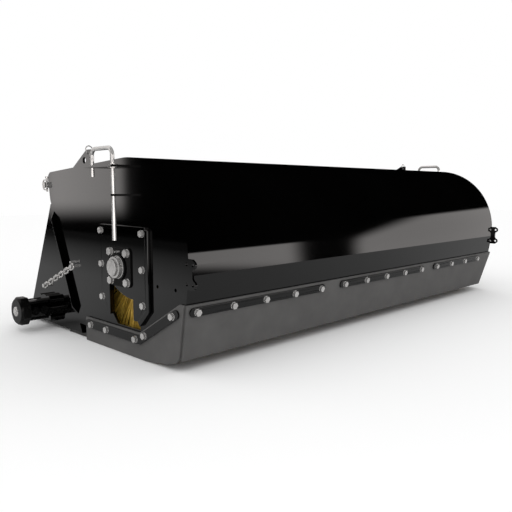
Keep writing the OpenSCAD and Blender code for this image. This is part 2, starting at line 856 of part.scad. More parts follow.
module parting_flanges() {
  run = (flange_top_z - flange_low_z) / cos(part_lean);
  color([0.02, 0.02, 0.02]) from_edge() both_sides()
    translate([half_w, part_y(flange_low_z), flange_low_z]) rotate([-part_lean, 0, 0])
      rotate([90, 0, 0]) linear_extrude(flange_t)
        polygon([[0, 0], [flange_out, flange_taper], [flange_out, run - flange_taper], [0, run]]);
}

module guard_bars() {
  front = brush_y - plate_w / 2 - 1;
  turn_z = brush_z - plate_down + 40;
  leg = 42;
  slant = guard_w * tan(22.5);
  color([0.02, 0.02, 0.02]) from_edge() both_sides() across(half_w, half_w + guard_out) polygon([
    [front - guard_w, brush_z + plate_up - 6], [front, brush_z + plate_up - 6], [front, turn_z],
    [front + leg, turn_z - leg], [front + leg - guard_w * sin(45), turn_z - leg - guard_w * cos(45)],
    [front - guard_w, turn_z - slant]
  ]);
}

module rod_tabs() {
  reach = rod_out + rod_r + 14;
  color([0.02, 0.02, 0.02]) from_edge() both_sides() difference() {
    union() {
      translate([half_w, rod_y - 24, tab_z]) cube([reach, rod_pitch + 42, tab_t]);
      translate([half_w, rod_y - 20, low_tab_z]) cube([reach, 40, tab_t]);
    }
    translate([rod_x, rod_y, tab_z - 1]) cylinder(h = tab_t + 2, r = rod_r + bush_wall + seat_gap);
    translate([rod_x, rod_y + rod_pitch, tab_z - 1]) cylinder(h = tab_t + 2, r = rod_r + hole_gap);
    translate([rod_x, rod_y, low_tab_z - 1]) cylinder(h = tab_t + 2, r = rod_r + hole_gap);
  }
}

module rod_bushes() {
  color("silver") from_edge() both_sides() translate([rod_x, rod_y, tab_z]) difference() {
    union() {
      cylinder(h = tab_t, r = rod_r + bush_wall);
      translate([0, 0, tab_t]) cylinder(h = bush_wall, r = bush_r);
      translate([0, 0, -bush_wall]) cylinder(h = bush_wall, r = bush_r);
    }
    translate([0, 0, -bush_wall - 1]) cylinder(h = tab_t + 2 * bush_wall + 2, r = rod_r + run_gap);
  }
}

module drop_rod() {
  top = rod_top_z - rod_r;
  leg_top = top - rod_bend;
  translate([rod_x, rod_y, rod_low_z]) cylinder(h = leg_top - rod_low_z, r = rod_r);
  translate([rod_x, rod_y + rod_pitch, rod_short_z]) cylinder(h = leg_top - rod_short_z, r = rod_r);
  translate([rod_x, rod_y + rod_bend, top]) rotate([-90, 0, 0])
    cylinder(h = rod_pitch - 2 * rod_bend, r = rod_r);
  translate([rod_x, rod_y + rod_bend, leg_top]) rotate([90, 0, 90]) rotate([0, 0, 90])
    rotate_extrude(angle = 90) translate([rod_bend, 0]) circle(rod_r);
  translate([rod_x, rod_y + rod_pitch - rod_bend, leg_top]) rotate([90, 0, 90])
    rotate_extrude(angle = 90) translate([rod_bend, 0]) circle(rod_r);
}

module drop_rod_left() {
  color("silver") from_edge() mirror([1, 0, 0]) drop_rod();
}

module drop_rod_right() {
  color("silver") from_edge() drop_rod();
}

// The lifting lug stands on the side plate's top edge, with its crown at the front
lug_crown_y = lug_front_y + 2;
lug_crown_end = lug_crown_y + 24;
lug_peak_z = top_z(lug_crown_y) + lug_h;
lug_bore_y = lug_crown_y + 38;
lug_bore_z = top_z(lug_bore_y) + lug_bore_r + 5;
clip_y = lug_crown_y + 14;
clip_z = lug_peak_z - 11;

module lifting_lugs() {
  color([0.02, 0.02, 0.02]) from_edge() both_sides() difference() {
    across(hood_in, half_w) polygon([
      [lug_front_y, top_z(lug_front_y)], [lug_crown_y, lug_peak_z], [lug_crown_end, lug_peak_z],
      [lug_rear_y, top_z(lug_rear_y)]
    ]);
    facing_out(hood_in - 1, lug_bore_y, lug_bore_z) cylinder(h = side_t + 2, r = lug_bore_r);
    facing_out(hood_in - 1, clip_y, clip_z) cylinder(h = side_t + 2, r = 2 * clip_r + 0.5);
  }
}

module lug_clips() {
  ring = side_t + 3;
  color("silver") from_edge() both_sides() translate([half_w - side_t / 2, clip_y, clip_z + ring])
    rotate([90, 0, 0]) wire_ring(ring, clip_r);
}

module bracket_spots(x, y) {
  for (side = [-1, 1], end = [-1, 1])
    facing_out(x, y + side * bracket_hole_y / 2, bracket_z + end * bracket_hole_z / 2) children();
}

// A waisted plate in the side view, with its middle at y
module bracket(x, y) {
  lobe = (bracket_w - bracket_hole_y) / 2;
  wide = bracket_hole_y / 2 + lobe - 2;
  high = bracket_hole_z / 2;
  difference() {
    union() {
      bracket_spots(x, y) cylinder(h = bracket_t, r = lobe);
      for (end = [-1, 1]) across(x, x + bracket_t) translate([y, bracket_z]) polygon([
        [-bracket_hole_y / 2, end * bracket_h / 2], [bracket_hole_y / 2, end * bracket_h / 2],
        [wide, end * high], [waist_w / 2, end * 9], [waist_w / 2, -end],
        [-waist_w / 2, -end], [-waist_w / 2, end * 9], [-wide, end * high]
      ]);
    }
    bracket_spots(x - 1, y) cylinder(h = bracket_t + 2, r = bracket_hole_r);
  }
}

module corner_bracket_left() {
  color([0.02, 0.02, 0.02]) from_edge() mirror([1, 0, 0]) bracket(half_w, bracket_y);
}

// The right bracket stands on the hood's front face, on two short feet
module corner_bracket_right() {
  x = half_w - bracket_in;
  color([0.02, 0.02, 0.02]) from_edge() difference() {
    union() {
      bracket(x, hood_front_y - bracket_w / 2);
      for (end = [-1, 1]) translate([x, hood_front_y - 4, bracket_z + end * bracket_hole_z / 2 - 8])
        cube([bracket_t, 20, 16]);
    }
    hood_block(0, half_w, 0, lip_low_z, hood_end_y);
  }
}

module front_flap() {
  half = half_w + flap_over;
  top = lip_v(flap_top_z);
  low = lip_v(flap_low_z);
  color([0.12, 0.12, 0.12]) from_edge() on_lip() difference() {
    linear_extrude(flap_t) polygon([
      [-half, top], [half, top], [half, top - flap_shoulder], [half - flap_slant, low], [-half, low]
    ]);
    front_bolt_spots() translate([0, 0, -1]) cylinder(h = flap_t + 2, r = bolt_r + hole_gap);
  }
}

// Three clamping strips share the bolts of the front flap
strip_runs = [[0, 4], [5, 9], [10, flap_bolt_n - 1]];

module front_flap_strips() {
  v = lip_v(flap_bolt_z);
  color([0.02, 0.02, 0.02]) from_edge() on_lip() translate([0, 0, flap_t]) difference() {
    linear_extrude(strip_t) for (run = strip_runs) {
      start = flap_bolt_first + run[0] * flap_bolt_pitch - strip_over;
      end = flap_bolt_first + run[1] * flap_bolt_pitch + strip_over;
      bar([start, v], [end, v], strip_w);
    }
    front_bolt_spots() translate([0, 0, -1]) cylinder(h = strip_t + 2, r = bolt_r + hole_gap);
  }
}

module front_flap_bolts() {
  color("silver") from_edge() on_lip() front_bolt_spots() translate([0, 0, flap_t + strip_t])
    bolt(bolt_r, flap_t + strip_t + 2 * hood_t);
}

module side_flap(cut = 0) {
  front_gap = 0.5;
  top_rear = [side_flap_rear, side_bolt_z + flap_margin];
  turn = rise_pt(flap_margin * tan(side_rise / 2), -flap_margin);
  along_top = (turn[0] - lip_y(flap_top_z) - front_gap) / cos(side_rise);
  front_top_z = min(flap_top_z, turn[1] + along_top * sin(side_rise));
  mid_z = side_bolt_z - 18;
  difference() {
    across(half_w, half_w + flap_t) polygon([
      top_rear, turn, [turn[0] - (front_top_z - turn[1]) / tan(side_rise), front_top_z],
      [lip_y(front_top_z) + front_gap, front_top_z], [lip_y(mid_z) + front_gap + cut, mid_z],
      [lip_y(mid_z) + 10 + cut, mid_z - 14], [lip_y(mid_z) + 44 + cut, 15], [side_turn_y - 20, side_flap_low],
      [side_flap_rear, side_flap_low]
    ]);
    side_bolt_spots(half_w - 1) cylinder(h = flap_t + 2, r = bolt_r + hole_gap);
  }
}

module side_flap_left() {
  color([0.12, 0.12, 0.12]) from_edge() mirror([1, 0, 0]) side_flap();
}

module side_flap_right() {
  color([0.12, 0.12, 0.12]) from_edge() side_flap(side_flap_cut);
}

module side_flap_strips() {
  x = half_w + flap_t;
  turn = [side_turn_y, side_bolt_z];
  color([0.02, 0.02, 0.02]) from_edge() both_sides() difference() {
    across(x, x + strip_t) {
      bar(turn, [side_flap_rear - 20, side_bolt_z], strip_w);
      bar(turn, rise_pt(side_bolt_rise[1] + 12, 0), strip_w);
    }
    side_bolt_spots(x - 1) cylinder(h = strip_t + 2, r = bolt_r + hole_gap);
  }
}

module side_flap_bolts() {
  color("silver") from_edge() both_sides() side_bolt_spots(half_w + flap_t + strip_t)
    bolt(bolt_r, flap_t + strip_t + side_t + 2);
}

module bearing_plate(bore_r) {
  difference() {
    across(half_w, bearing_x) difference() {
      bearing_plate_outline();
      translate([brush_y, brush_z]) circle(bore_r);
    }
    plate_bolt_spots(half_w - 1) cylinder(h = plate_t + 2, r = bolt_r + hole_gap);
  }
}

module bearing_plate_left() {
  color([0.02, 0.02, 0.02]) from_edge() mirror([1, 0, 0]) difference() {
    bearing_plate(ring_r - 3);
    bearing_bolt_spots(half_w - 1) cylinder(h = plate_t + 2, r = bearing_bolt_r + hole_gap);
  }
}

module bearing_plate_right() {
  color([0.02, 0.02, 0.02]) from_edge() bearing_plate(motor_shaft_r + 4);
}

module bearing_plate_bolts() {
  color("silver") from_edge() both_sides() plate_bolt_spots(bearing_x) bolt(bolt_r, plate_t + side_t + 2);
}

module bearing_housing() {
  corner = 15;
  inset = bearing_w / 2 - corner;
  color([0.02, 0.02, 0.02]) from_edge() mirror([1, 0, 0]) difference() {
    union() {
      facing_out(bearing_x, brush_y, brush_z) {
        translate([-inset, -bearing_w / 2, 0]) cube([2 * inset, bearing_w, bearing_t]);
        translate([-bearing_w / 2, -inset, 0]) cube([bearing_w, 2 * inset, bearing_t]);
        for (u = [-1, 1], v = [-1, 1]) translate([u * inset, v * inset, 0])
          cylinder(h = bearing_t, r = corner);
        cylinder(h = bearing_t + boss_out, r = boss_r);
      }
    }
    facing_out(bearing_x - 1, brush_y, brush_z)
      cylinder(h = bearing_t + boss_out + 2, r = ring_r + seat_gap);
    bearing_bolt_spots(bearing_x - 1) cylinder(h = bearing_t + 2, r = bearing_bolt_r + hole_gap);
  }
}

module bearing_ring() {
  color("silver") from_edge() mirror([1, 0, 0]) facing_out(bearing_x + 2, brush_y, brush_z) difference() {
    cylinder(h = bearing_t + boss_out - 3, r = ring_r);
    translate([0, 0, -1]) cylinder(h = bearing_t + boss_out, r = shaft_r + run_gap);
  }
}

// Bearing bolts with the grease nipple between the upper pair
module bearing_bolts() {
  nipple_z = brush_z + boss_r + 5;
  color("silver") from_edge() mirror([1, 0, 0]) {
    bearing_bolt_spots(bearing_x + bearing_t) bolt(bearing_bolt_r, bearing_t + plate_t + 2);
    facing_out(bearing_x + bearing_t, brush_y, nipple_z) {
      cylinder(h = 9, r = 3.5, $fn = 6);
      translate([0, 0, 9]) cylinder(h = 6, r = 2.5);
    }
  }
}

module brush_core() {
  color([0.1, 0.1, 0.1]) from_edge() facing_out(-core_l / 2, brush_y, brush_z) difference() {
    cylinder(h = core_l, r = core_r);
    translate([0, 0, -1]) cylinder(h = core_l + 2, r = core_r - core_wall);
  }
}

// Bristle tufts and the sleeve that they stand in, as one faceted piece
module brush_bristles() {
  sleeve = core_l - 4;
  row_gap = (sleeve - 40) / (tuft_rows - 1);
  root = core_r + backing_t / 2;
  color([0.75, 0.58, 0.15]) from_edge() facing_out(0, brush_y, brush_z) resize([0, 0, 0]) {
    difference() {
      cylinder(h = sleeve, r = backing_r, center = true, $fn = 2 * tufts_round);
      cylinder(h = sleeve + 2, r = core_r + 0.6, center = true, $fn = 2 * tufts_round);
    }
    for (row = [0 : tuft_rows - 1], i = [0 : tufts_round - 1])
      translate([0, 0, (row - (tuft_rows - 1) / 2) * row_gap])
        rotate(i * 360 / tufts_round + row * tuft_twist) rotate([0, 90, 0]) translate([0, 0, root])
          cylinder(h = brush_r - root, r1 = tuft_root_r, r2 = tuft_tip_r, $fn = 3);
  }
}

module brush_end_discs() {
  color([0.1, 0.1, 0.1]) from_edge() for (side = [-1, 1]) difference() {
    facing_out(side > 0 ? core_l / 2 : -core_l / 2 - disc_t, brush_y, brush_z)
      cylinder(h = disc_t, r = disc_r);
    facing_out(side > 0 ? core_l / 2 - 1 : -core_l / 2 - disc_t - 1, brush_y, brush_z)
      cylinder(h = disc_t + 2, r = (side > 0 ? motor_shaft_r : shaft_r) + seat_gap);
  }
}

module brush_shaft() {
  color("silver") from_edge() facing_out(-half_w - shaft_out, brush_y, brush_z)
    cylinder(h = half_w + shaft_out - core_l / 2 + 60, r = shaft_r);
}

module shaft_collar() {
  x = bearing_x + bearing_t + boss_out + 1;
  color("silver") from_edge() mirror([1, 0, 0]) difference() {
    facing_out(x, brush_y, brush_z) cylinder(h = collar_l, r = collar_r);
    facing_out(x - 1, brush_y, brush_z) cylinder(h = collar_l + 2, r = shaft_r + seat_gap);
    for (a = [200, 250]) facing_out(x + collar_l / 2, brush_y, brush_z) rotate(a)
      translate([collar_r - 4, 0, 0]) rotate([0, 90, 0]) cylinder(h = 6, r = 3);
  }
}

module drive_shaft() {
  color("silver") from_edge() facing_out(core_l / 2 - 60, brush_y, brush_z)
    cylinder(h = bearing_x + motor_flange_t - 2 - core_l / 2 + 60, r = motor_shaft_r);
}

// One flat oval link lying in the plane of its first two axes
module link() {
  long = link_in_l - link_in_w;
  linear_extrude(wire, center = true) difference() {
    bar([-long / 2, 0], [long / 2, 0], link_in_w + 2 * wire);
    bar([-long / 2, 0], [long / 2, 0], link_in_w);
  }
}

module chain_forks() {
  tilt = atan2(peg_z - fork_z, peg_y - fork_y);
  prong = 14;
  color("silver") from_edge() both_sides() {
    facing_out(half_w, fork_y, fork_z) cylinder(h = chain_out + wire, r = peg_r);
    facing_out(half_w + chain_out + wire, fork_y, fork_z) cylinder(h = 3, r = peg_r + 3);
    facing_out(half_w, fork_y - prong * sin(tilt), fork_z + prong * cos(tilt))
      cylinder(h = chain_out + wire, r = peg_r);
  }
}

module hold_chains() {
  from = [fork_y, fork_z];
  span = norm([peg_y, peg_z] - from);
  tilt = atan2(peg_z - fork_z, peg_y - fork_y);
  seat = link_in_l / 2 - peg_r - 0.5;
  longest = link_in_l - link_in_w / 2 + sqrt(pow(link_in_w / 2, 2) - pow(wire / 2, 2)) - 0.6;
  gaps = 2 * ceil((span - 2 * seat) / longest / 2);
  pitch = (span - 2 * seat) / gaps;
  color("silver") from_edge() both_sides() translate([chain_x, fork_y, fork_z]) rotate([tilt, 0, 0])
    for (i = [0 : gaps]) translate([0, seat + i * pitch, 0]) rotate([0, i % 2 == 0 ? 90 : 0, 0])
      rotate([0, 0, 90]) link();
}

bucket_shell();
bucket_side_left();
bucket_side_right();
cutting_edge();
cutting_edge_bolts();
wear_bars();
hinge_tube();
hinge_pins();
lynch_pins();
quick_attach_plate();
quick_attach_ribs();
chain_pegs();
aux_motor_flange();
aux_motor_body();
aux_motor_cap();
aux_motor_tie_rods();
aux_motor_fittings();
aux_shaft();
hood_shell();
hood_side_left();
hood_side_right();
parting_flanges();
guard_bars();
rod_tabs();
rod_bushes();
lifting_lugs();
lug_clips();
corner_bracket_left();
corner_bracket_right();
front_flap();
front_flap_strips();
front_flap_bolts();
side_flap_left();
side_flap_right();
side_flap_strips();
side_flap_bolts();
bearing_plate_left();
bearing_plate_right();
bearing_plate_bolts();
bearing_housing();
bearing_ring();
bearing_bolts();
drive_motor_flange();
drive_motor_body();
drive_motor_cap();
drive_motor_tie_rods();
drive_motor_fittings();
chain_forks();
hold_chains();
brush_core();
brush_bristles();
brush_end_discs();
brush_shaft();
shaft_collar();
drive_shaft();
drop_rod_left();
drop_rod_right();
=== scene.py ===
# %% [markdown]
# # A loader's pick-up broom
# The object is a gloss-black hood over a driven brush, with a bucket hinged behind it.
# The CAD model already holds every plate, bolt and bearing. This lesson loads it as a fixed
# frame, dresses it in finishes, and models again only what CAD makes too stiff: the
# bristles, the rubber and the round-wire chains.

import json
import math
import random

import bmesh
import bpy
from mathutils import Matrix, Vector


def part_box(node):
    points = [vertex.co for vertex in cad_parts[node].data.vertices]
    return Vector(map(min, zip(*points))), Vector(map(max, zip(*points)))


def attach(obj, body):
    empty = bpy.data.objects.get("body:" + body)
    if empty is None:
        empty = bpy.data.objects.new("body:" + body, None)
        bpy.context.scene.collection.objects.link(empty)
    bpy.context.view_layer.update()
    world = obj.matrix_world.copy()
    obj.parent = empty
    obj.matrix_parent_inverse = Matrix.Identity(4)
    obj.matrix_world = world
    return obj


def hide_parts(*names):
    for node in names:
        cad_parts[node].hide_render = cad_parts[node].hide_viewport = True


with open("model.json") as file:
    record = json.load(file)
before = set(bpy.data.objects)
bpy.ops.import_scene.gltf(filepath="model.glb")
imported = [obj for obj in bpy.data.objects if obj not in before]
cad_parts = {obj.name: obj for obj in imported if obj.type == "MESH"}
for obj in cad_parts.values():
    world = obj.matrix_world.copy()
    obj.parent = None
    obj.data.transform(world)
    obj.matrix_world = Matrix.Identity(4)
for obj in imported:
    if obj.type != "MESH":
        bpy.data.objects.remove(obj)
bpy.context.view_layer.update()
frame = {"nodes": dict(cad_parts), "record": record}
nodes = frame["nodes"]
X, Z = Vector((1, 0, 0)), Vector((0, 0, 1))
print("CAD nodes:", len(nodes))

# %% [markdown]
# Every finish below is a Principled shader. A real finish is never one flat colour, so a
# noise on Object coordinates breaks up the colour and the roughness a little. Object
# coordinates are used because each piece sits at the origin, so the pattern stays on the
# piece when a joint moves it. One helper builds that chain, so each finish is a short call.

# %% A helper for finishes
SPOT_DETAIL = 4.0
DARK_AT, LIGHT_AT = 0.3, 0.7
GRAIN_SIZE, GRAIN_DEPTH = 0.002, 0.0005


def finish(name, dark, light, rough, spot_size, metal=0.0, grain=0.0, gleam=0.5):
    """A finish that wanders between two colours and two roughnesses, with a fine bump."""
    mat = bpy.data.materials.new(name)
    mat.use_nodes = True
    tree = mat.node_tree
    shader = tree.nodes["Principled BSDF"]
    shader.inputs["Metallic"].default_value = metal
    shader.inputs["Specular IOR Level"].default_value = gleam
    place = tree.nodes.new("ShaderNodeTexCoord")
    spots = tree.nodes.new("ShaderNodeTexNoise")
    spots.inputs["Scale"].default_value = 1.0 / spot_size
    spots.inputs["Detail"].default_value = SPOT_DETAIL
    tint = tree.nodes.new("ShaderNodeValToRGB")
    tint.color_ramp.elements[0].position = DARK_AT
    tint.color_ramp.elements[0].color = (*dark, 1)
    tint.color_ramp.elements[1].position = LIGHT_AT
    tint.color_ramp.elements[1].color = (*light, 1)
    gloss = tree.nodes.new("ShaderNodeMapRange")
    gloss.inputs["To Min"].default_value = rough[0]
    gloss.inputs["To Max"].default_value = rough[1]
    tree.links.new(place.outputs["Object"], spots.inputs["Vector"])
    tree.links.new(spots.outputs["Fac"], tint.inputs["Fac"])
    tree.links.new(tint.outputs["Color"], shader.inputs["Base Color"])
    tree.links.new(spots.outputs["Fac"], gloss.inputs["Value"])
    tree.links.new(gloss.outputs["Result"], shader.inputs["Roughness"])
    if grain:
        fine = tree.nodes.new("ShaderNodeTexNoise")
        fine.inputs["Scale"].default_value = 1.0 / GRAIN_SIZE
        bump = tree.nodes.new("ShaderNodeBump")
        bump.inputs["Strength"].default_value = grain
        bump.inputs["Distance"].default_value = GRAIN_DEPTH
        tree.links.new(place.outputs["Object"], fine.inputs["Vector"])
        tree.links.new(fine.outputs["Fac"], bump.inputs["Height"])
        tree.links.new(bump.outputs["Normal"], shader.inputs["Normal"])
    print("finish:", name)
    return mat


# %% [markdown]
# The finishes are named as a maker would order them. Gloss black paint covers most of the
# machine and mirrors what is round it, so it needs a low roughness and almost no colour of
# its own. Zinc on the bolts is rougher than the chrome of the drop rods. Rubber is a matt
# grey, lighter than the paint, with a fine grain.

# %% The finishes
def grey(value):
    """A grey that leans very slightly to the warm side."""
    return (value * 1.02, value, value * 0.98)


FINISHES = {
    "black_paint": finish("gloss_black_paint", grey(0.0003), grey(0.0006), (0.04, 0.07), 0.35),
    "black_casting": finish("black_casting", grey(0.002), grey(0.004), (0.3, 0.45), 0.02,
                            grain=0.25, gleam=0.12),
    "wear_steel": finish("worn_steel", grey(0.10), grey(0.2), (0.35, 0.55), 0.03, metal=1.0, grain=0.2),
    "bright_steel": finish("zinc_plate", grey(0.65), grey(0.85), (0.18, 0.3), 0.015, metal=0.75),
    "chrome_rod": finish("chrome_rod", grey(0.75), grey(0.85), (0.08, 0.16), 0.05, metal=0.6),
    "motor_grey": finish("motor_dark_paint", grey(0.002), grey(0.004), (0.2, 0.32), 0.03, gleam=0.2),
    "rubber": finish("flap_rubber", grey(0.094), grey(0.118), (0.6, 0.72), 0.06, grain=0.25),
    "bristle": finish("gold_bristle", (0.55, 0.33, 0.03), (0.85, 0.58, 0.11), (0.4, 0.6), 0.02),
    "core_steel": finish("dull_core_steel", grey(0.02), grey(0.05), (0.4, 0.6), 0.04, metal=0.6),
}

# %% [markdown]
# Each CAD node names the slot of its finish in the record. A loop hands the finishes out,
# so a node that is added later is painted without another line here. Small hardware close
# to the paint would show twice, once as its mirror image. The photo shows no such doubles,
# so the hardware is left out of what the paint mirrors.

# %% Paint the CAD nodes
UNMIRRORED_SLOTS = ("bright_steel", "chrome_rod", "motor_grey", "black_casting")
UNMIRRORED_NODES = ("corner_bracket_left", "corner_bracket_right")
for part in frame["record"]["subparts"]:
    name, slot = part["node"], part["material_slot"]
    mesh = nodes[name].data
    mesh.materials.clear()
    mesh.materials.append(FINISHES[slot])
    nodes[name].visible_glossy = slot not in UNMIRRORED_SLOTS and name not in UNMIRRORED_NODES

# %% [markdown]
# A motor's fittings are one CAD node: a bright plug on the axis and two ports beside it. The
# ports are black with the motor. A face belongs to a port when its centre is further from
# the motor's axis than the plug reaches, so the axis is read from the box of the end cap.

# %% Black ports
PLUG_REACH = 0.02
for motor in ("aux_motor", "drive_motor"):
    cap_low, cap_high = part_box(motor + "_cap")
    axis_y, axis_z = (cap_low.y + cap_high.y) / 2, (cap_low.z + cap_high.z) / 2
    mesh = nodes[motor + "_fittings"].data
    mesh.materials.append(FINISHES["motor_grey"])
    for face in mesh.polygons:
        off_axis = math.hypot(face.center.y - axis_y, face.center.z - axis_z)
        face.material_index = int(off_axis > PLUG_REACH)
    print(motor, "ports:", sum(f.material_index for f in mesh.polygons), "faces")

# %% [markdown]
# Bar and plate edges are never knife sharp, and a rounded edge is what catches a line of
# light. The CAD mesh is loose triangles, so a Weld modifier joins it first, and a Bevel
# modifier then rounds only the edges that turn by more than thirty degrees.

# %% Rounded edges
EDGES = {
    "guard_bars": 0.003,
    "parting_flanges": 0.0015,
    "bearing_plate_left": 0.001,
    "bearing_plate_right": 0.001,
    "front_flap_strips": 0.001,
    "side_flap_strips": 0.001,
}
JOIN_WITHIN = 1e-5
EDGE_STEPS, EDGE_TURN = 3, math.radians(30)
for name, width in EDGES.items():
    weld = nodes[name].modifiers.new("joined", "WELD")
    weld.merge_threshold = JOIN_WITHIN
    bevel = nodes[name].modifiers.new("rounded", "BEVEL")
    bevel.width = width
    bevel.segments = EDGE_STEPS
    bevel.limit_method = "ANGLE"
    bevel.angle_limit = EDGE_TURN
print("rounded:", len(EDGES), "nodes")

# %% [markdown]
# A new piece is drawn in a bmesh, which is only a drawing board. To be part of the machine
# it needs an object, a finish, the body that carries it, and the name of the CAD node that
# it stands in for. Every piece ends in these same lines, so they are written once.

# %% A helper for new pieces
def new_piece(name, bm, slot, body, *stands_for, smooth=False):
    """Turns a bmesh into an object with a finish that rides on a body."""
    bmesh.ops.recalc_face_normals(bm, faces=bm.faces)
    mesh = bpy.data.meshes.new(name)
    bm.to_mesh(mesh)
    bm.free()
    mesh.materials.append(FINISHES[slot])
    if smooth:
        mesh.shade_smooth()
    piece = bpy.data.objects.new(name, mesh)
    bpy.context.scene.collection.objects.link(piece)
    piece.visible_glossy = slot not in UNMIRRORED_SLOTS
    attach(piece, body)
    if stands_for:
        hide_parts(*stands_for)
    print(name, len(mesh.polygons), "faces")
    return piece


# %% [markdown]
# The brush is thousands of straight plastic filaments on a tube. CAD has stiff tufts in
# their place, so the brush is made again here. The lengths that CAD decides are read from
# its boxes, so the filaments start on the same tube and reach about as far as the tufts.

# %% Sizes of the brush
ROWS, SECTORS, PER_SECTOR = 90, 12, 12
END_ROWS, END_GAP, END_MARGIN = 4, 0.006, 0.01
TIP_TRIM, ROOT_LIFT = 0.001, 0.002
low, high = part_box("brush_bristles")
AXIS = (low + high) / 2
TIP_R = (high.z - low.z) / 2 - TIP_TRIM
core_low, core_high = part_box("brush_core")
ROOT_R = (core_high.z - core_low.z) / 2 + ROOT_LIFT
ROW_GAP = (high.x - low.x - 2 * END_MARGIN) / (ROWS - 1)
print("filaments from radius", round(ROOT_R, 4), "to", round(TIP_R, 4))

# %% [markdown]
# A dozen filaments with random leans fill one sector of a row, and a spin that duplicates
# carries the sector round the tube. Each filament could be drawn by itself, but a turned
# sector needs a twelfth of the random draws. Three sides are enough for pieces so thin.

# %% One row of filaments
FILAMENT_SIDES, FILAMENT_R, FILAMENT_TAPER = 3, 0.002, 0.6
FILAMENT_LEAN, SHORTEST = 0.05, 0.965
random.seed(7)


def filament_row(bm, x):
    """One ring of filaments at x, as a random sector carried round the brush axis."""
    made = []
    for _ in range(PER_SECTOR):
        reach = TIP_R * random.uniform(SHORTEST, 1.0) - ROOT_R
        turn = Matrix.Rotation(random.uniform(0, 2 * math.pi / SECTORS), 4, "X")
        lean = Matrix.Rotation(random.gauss(0, FILAMENT_LEAN), 4, "Y")
        lean = lean @ Matrix.Rotation(random.gauss(0, FILAMENT_LEAN), 4, "X")
        shift = Matrix.Translation((x + random.uniform(-0.5, 0.5) * ROW_GAP, AXIS.y, AXIS.z))
        root = Matrix.Translation((0, 0, ROOT_R))
        middle = Matrix.Translation((0, 0, reach / 2))
        grown = bmesh.ops.create_cone(
            bm, cap_ends=True, cap_tris=True, segments=FILAMENT_SIDES, radius1=FILAMENT_R,
            radius2=FILAMENT_R * FILAMENT_TAPER, depth=reach, matrix=shift @ turn @ root @ lean @ middle)
        made += grown["verts"]
    faces = list({f for v in made for f in v.link_faces})
    edges = list({e for v in made for e in v.link_edges})
    bmesh.ops.spin(bm, geom=made + faces + edges, cent=(x, AXIS.y, AXIS.z), axis=X, dvec=(0, 0, 0),
                   angle=2 * math.pi * (SECTORS - 1) / SECTORS, steps=SECTORS - 1, use_duplicate=True)


# %% [markdown]
# The rows stand side by side along the tube. The ends of the brush are what shows through
# the window in the side plate, so a few close rows thicken them. A sleeve round the roots
# closes the view between the filaments.

# %% Grow the brush
SLEEVE_LIFT, SLEEVE_SIDES = 0.004, 64
bm = bmesh.new()
for row in range(ROWS):
    filament_row(bm, low.x + END_MARGIN + row * ROW_GAP)
for row in range(END_ROWS):
    filament_row(bm, low.x + END_MARGIN + row * END_GAP)
    filament_row(bm, high.x - END_MARGIN - row * END_GAP)
lying = Matrix.Translation(AXIS) @ Matrix.Rotation(math.pi / 2, 4, "Y")
bmesh.ops.create_cone(bm, cap_ends=False, segments=SLEEVE_SIDES, radius1=ROOT_R + SLEEVE_LIFT,
                      radius2=ROOT_R + SLEEVE_LIFT, depth=high.x - low.x, matrix=lying)
new_piece("bristles", bm, "bristle", "brush", "brush_bristles")

# %% [markdown]
# The flaps are cut rubber sheet. Their outline and holes are taken from CAD, but a cut edge
# of rubber is never knife sharp. A copy of the CAD mesh is merged, its flat faces are
# dissolved back into single faces, and the edges are bevelled.

# %% Rubber flaps
EDGE_ROUND, ROUND_STEPS = 0.0012, 2
FLAT_TURN, SHARP_TURN = 0.02, 0.7


def cut_rubber(node, body):
    """A CAD sheet made again with rounded edges."""
    bm = bmesh.new()
    bm.from_mesh(nodes[node].data)
    bmesh.ops.remove_doubles(bm, verts=bm.verts, dist=JOIN_WITHIN)
    bmesh.ops.dissolve_limit(bm, angle_limit=FLAT_TURN, verts=bm.verts, edges=bm.edges)
    sharp = [e for e in bm.edges if e.calc_face_angle(0.0) > SHARP_TURN]
    bmesh.ops.bevel(bm, geom=sharp, offset=EDGE_ROUND, offset_type="OFFSET", segments=ROUND_STEPS,
                    profile=0.5, affect="EDGES", material=-1)
    return new_piece("rubber_" + node, bm, "rubber", body, node)


for flap in ("front_flap", "side_flap_left", "side_flap_right"):
    cut_rubber(flap, "hood")

# %% [markdown]
# A chain link is round wire bent to an oval. A circle is spun to a ring, and then each
# half of the ring is pushed outwards, which leaves two straight legs between the bends.
# The circle is first turned by half a step, so that none of the ring's circles lies on the
# line where the halves part.

# %% One wire link
WIRE_R, WIRE_SIDES = 0.003, 10
LINK_BEND_R, LINK_LEG, BEND_STEPS = 0.0078, 0.0125, 16


def add_link(bm, place):
    """One oval link in its own X-Y plane, long way along X, put in place by a matrix."""
    upright = Matrix.Translation((0, LINK_BEND_R, 0)) @ Matrix.Rotation(math.pi / 2, 4, "Y")
    ring = bmesh.ops.create_circle(bm, segments=WIRE_SIDES, radius=WIRE_R, matrix=upright)["verts"]
    bmesh.ops.rotate(bm, verts=ring, cent=(0, 0, 0), matrix=Matrix.Rotation(math.pi / BEND_STEPS, 3, "Z"))
    edges = list({e for v in ring for e in v.link_edges})
    before = set(bm.verts) - set(ring)
    bmesh.ops.spin(bm, geom=ring + edges, cent=(0, 0, 0), axis=Z, dvec=(0, 0, 0), angle=2 * math.pi,
                   steps=BEND_STEPS, use_merge=True)
    made = [v for v in bm.verts if v not in before]
    for end in (-1, 1):
        half = [v for v in made if v.co.x * end > 0]
        bmesh.ops.translate(bm, verts=half, vec=(end * LINK_LEG / 2, 0, 0))
    bmesh.ops.transform(bm, matrix=place, verts=made)


print("link length:", round(LINK_LEG + 2 * (LINK_BEND_R + WIRE_R), 4))

